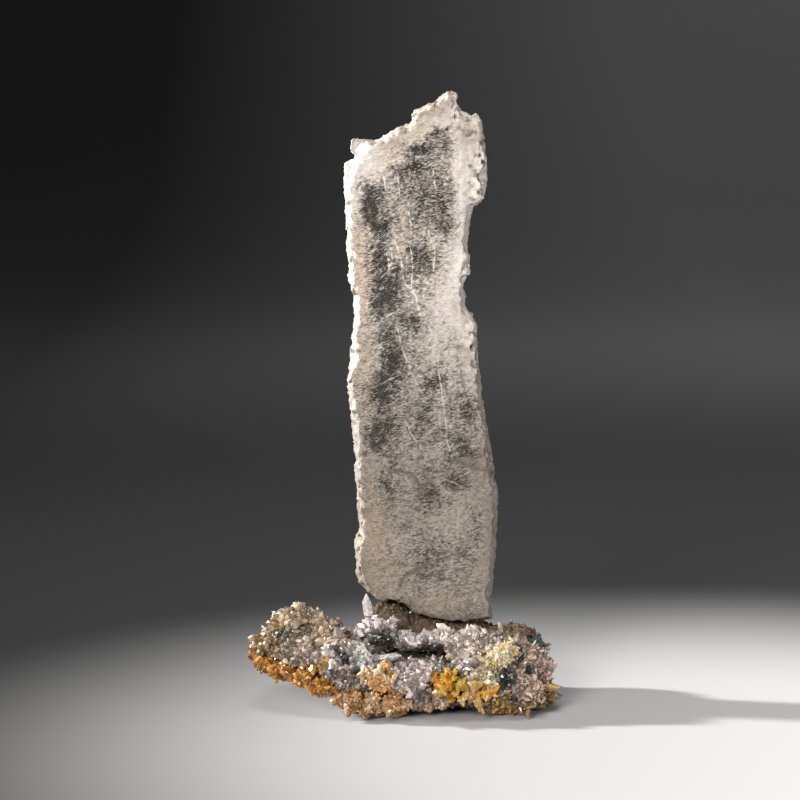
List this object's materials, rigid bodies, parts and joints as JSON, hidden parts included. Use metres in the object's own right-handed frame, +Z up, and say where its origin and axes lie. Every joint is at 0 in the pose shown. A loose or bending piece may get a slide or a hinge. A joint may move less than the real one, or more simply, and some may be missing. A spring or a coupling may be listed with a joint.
{
  "type": "selenite on matrix",
  "caption": "Tall tabular selenite crystal standing on a low plate of brown host rock crusted with pale lilac and orange-stained quartz points.",
  "frame": {"origin": "on the surface that the specimen stands on, under the middle of its bounding box", "axes": "+Z up along the blade, +X to the right along the plate of rock, +Y to the back"},
  "size_m": [0.0834, 0.05, 0.1603],
  "materials": {
    "selenite": "translucent, silky, etched",
    "host_rock": "rough, dull",
    "lilac_quartz": "sparkling druse",
    "cream_quartz": "glassy needles",
    "orange_quartz": "glassy, iron stained",
    "dark_green_mineral": "glossy, dark",
    "clear_quartz": "clear to smoky"
  },
  "bodies": {
    "root": {"selenite_blade": "selenite", "host_rock": "host_rock", "quartz_crust": "lilac_quartz", "cream_needle_crystals": "cream_quartz", "orange_crystals_left": "orange_quartz", "amber_crystals_low": "orange_quartz", "orange_crystals_middle": "orange_quartz", "orange_crystals_right": "orange_quartz", "yellow_crystals_right": "orange_quartz", "dark_crystals_back": "dark_green_mineral", "stub_crystal_left": "clear_quartz", "stub_crystal_right": "clear_quartz", "plate_crystal": "clear_quartz", "foot_crystal": "clear_quartz", "amber_tip_crystal": "clear_quartz"}
  },
  "joints": []
}
